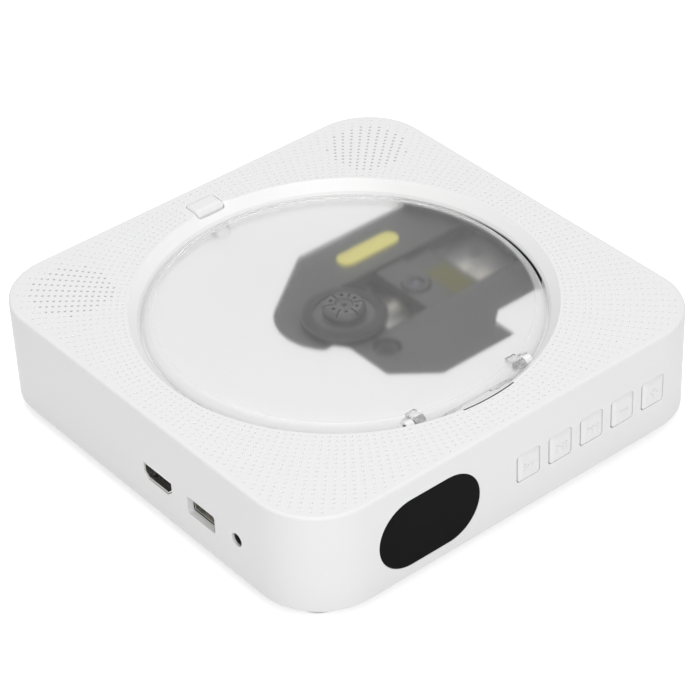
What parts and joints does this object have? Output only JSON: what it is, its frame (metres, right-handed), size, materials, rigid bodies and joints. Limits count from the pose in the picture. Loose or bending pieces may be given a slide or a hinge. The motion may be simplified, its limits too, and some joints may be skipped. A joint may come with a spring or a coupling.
{
  "type": "wall mounted disc player",
  "caption": "Square wall or table disc player: clear hinged lid over a disc well, perforated top, display window, front keys and side sockets.",
  "frame": {"origin": "middle of the footprint, on the surface that the feet stand on", "axes": "+Z out of the lid, -Y out of the front face with the keys, +X to the right along the front face"},
  "size_m": [0.175, 0.176, 0.0429],
  "materials": {
    "shell_white": "satin white",
    "well_white": "satin white",
    "clear_lid": "clear gloss",
    "window_black": "dark gloss",
    "black_plastic": "matt black",
    "grey_plastic": "matt dark grey",
    "natural_plastic": "satin off-white",
    "rubber_grey": "matt light grey",
    "rubber_black": "matt black",
    "board_green": "green lacquer",
    "steel": "brushed",
    "black_steel": "blackened",
    "bright_steel": "bright",
    "amber_film": "amber film",
    "lens_glass": "coated",
    "paper_cone": "matt paper",
    "yellow": "matt yellow",
    "aluminium": "satin"
  },
  "bodies": {
    "housing": {"top_shell": "shell_white", "grille_panel": "shell_white", "disc_well": "well_white", "bottom_plate": "shell_white", "foot_front_left": "rubber_grey", "foot_front_right": "rubber_grey", "foot_back_left": "rubber_grey", "foot_back_right": "rubber_grey", "case_screws": "steel", "hinge_pins": "black_steel", "open_spring": "bright_steel", "display_window": "window_black", "display_module": "board_green", "key_board": "board_green", "key_switches": "black_plastic", "main_board": "board_green", "board_chips": "black_plastic", "board_capacitors": "aluminium", "board_screws": "steel", "hdmi_socket": "steel", "hdmi_tongue": "black_plastic", "usb_socket": "steel", "usb_tongue": "natural_plastic", "audio_socket": "black_plastic", "power_inlet": "black_plastic", "power_pin": "bright_steel", "speaker_frame_left": "grey_plastic", "speaker_cone_left": "paper_cone", "speaker_magnet_left": "steel", "speaker_frame_right": "grey_plastic", "speaker_cone_right": "paper_cone", "speaker_magnet_right": "steel", "deck_frame": "black_plastic", "deck_grommets": "rubber_black", "deck_screws": "black_steel", "spindle_motor": "steel", "guide_rods": "bright_steel", "motor_plate": "steel", "sled_motor": "steel", "yellow_strip": "yellow"},
    "lid": {"lid": "clear_lid"},
    "open_button": {"open_button": "shell_white"},
    "latch": {"lid_latch": "well_white"},
    "key_1": {"key_1": "shell_white"},
    "key_2": {"key_2": "shell_white"},
    "key_3": {"key_3": "shell_white"},
    "key_4": {"key_4": "shell_white"},
    "key_5": {"key_5": "shell_white"},
    "spindle": {"spindle_shaft": "bright_steel", "turntable": "black_plastic", "turntable_pad": "rubber_black", "disc_hub": "black_plastic"},
    "sled": {"sled": "black_plastic", "sled_rack": "natural_plastic", "sled_flex": "amber_film"},
    "lens_unit": {"lens_holder": "black_plastic", "lens": "lens_glass"},
    "drive_gear": {"drive_gear": "natural_plastic"},
    "motor_pinion": {"motor_pinion": "natural_plastic"}
  },
  "joints": [
    {"name": "lid_hinge", "type": "hinge", "parent": "housing", "child": "lid", "pos_m": [0, -0.0625, 0.0382], "axis": [1, 0, 0], "range_deg": [0, 85]},
    {"name": "open_button_press", "type": "slide", "parent": "housing", "child": "open_button", "axis": [0, 0, -1], "range_m": [0, 0.0012], "stiffness_N_per_m": 400, "springref_m": -0.0004, "deforming": ["open_spring"]},
    {"name": "latch_slide", "type": "slide", "parent": "housing", "child": "latch", "axis": [0, 1, 0], "range_m": [0, 0.0012]},
    {"name": "key_1_press", "type": "slide", "parent": "housing", "child": "key_1", "axis": [0, 1, 0], "range_m": [0, 0.0007], "stiffness_N_per_m": 600, "springref_m": -0.0005},
    {"name": "key_2_press", "type": "slide", "parent": "housing", "child": "key_2", "axis": [0, 1, 0], "range_m": [0, 0.0007], "stiffness_N_per_m": 600, "springref_m": -0.0005},
    {"name": "key_3_press", "type": "slide", "parent": "housing", "child": "key_3", "axis": [0, 1, 0], "range_m": [0, 0.0007], "stiffness_N_per_m": 600, "springref_m": -0.0005},
    {"name": "key_4_press", "type": "slide", "parent": "housing", "child": "key_4", "axis": [0, 1, 0], "range_m": [0, 0.0007], "stiffness_N_per_m": 600, "springref_m": -0.0005},
    {"name": "key_5_press", "type": "slide", "parent": "housing", "child": "key_5", "axis": [0, 1, 0], "range_m": [0, 0.0007], "stiffness_N_per_m": 600, "springref_m": -0.0005},
    {"name": "spindle_spin", "type": "hinge", "parent": "housing", "child": "spindle", "pos_m": [0, 0, 0.0304], "axis": [0, 0, 1], "continuous": true},
    {"name": "sled_slide", "type": "slide", "parent": "housing", "child": "sled", "axis": [1, 0, 0], "range_m": [-0.009, 0.025]},
    {"name": "drive_gear_spin", "type": "hinge", "parent": "housing", "child": "drive_gear", "pos_m": [0.0485, -0.002, 0.0224], "axis": [0, 0, 1], "range_deg": [-410, 148]},
    {"name": "motor_pinion_spin", "type": "hinge", "parent": "housing", "child": "motor_pinion", "pos_m": [0.06125, -0.002, 0.0224], "axis": [0, 0, 1], "range_deg": [-536, 1489]},
    {"name": "lens_focus", "type": "slide", "parent": "sled", "child": "lens_unit", "axis": [0, 0, 1], "range_m": [-0.0004, 0.0004], "stiffness_N_per_m": 40}
  ],
  "couplings": [
    {"joint": "latch_slide", "follows": "open_button_press", "ratio": 1},
    {"joint": "drive_gear_spin", "follows": "sled_slide", "rad_per_m": -285.71},
    {"joint": "motor_pinion_spin", "follows": "sled_slide", "rad_per_m": 1039}
  ]
}
